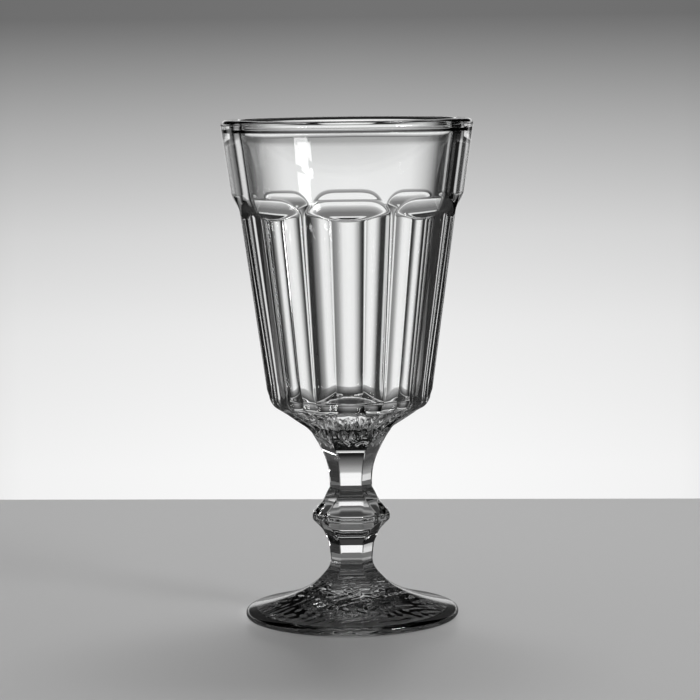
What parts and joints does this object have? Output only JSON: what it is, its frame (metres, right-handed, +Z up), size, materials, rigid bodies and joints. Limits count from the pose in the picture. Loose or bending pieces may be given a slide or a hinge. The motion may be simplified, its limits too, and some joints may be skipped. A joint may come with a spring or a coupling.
{
  "type": "absinthe glass",
  "caption": "Clear pressed-glass absinthe goblet: conical bowl with arch-topped hollow panels under a plain lip band, faceted stem with a cut knop, and a round dished foot.",
  "frame": {"origin": "on the table, under the middle of the foot", "axes": "+Z up the axis of the glass, one bowl panel and one stem face towards -Y"},
  "size_m": [0.08, 0.08, 0.16],
  "materials": {
    "clear_glass": "clear colourless pressed glass, fire-polished and smooth"
  },
  "bodies": {
    "root": {"bowl": "clear_glass", "upper_stem": "clear_glass", "knop": "clear_glass", "lower_stem": "clear_glass", "foot": "clear_glass"}
  },
  "joints": []
}
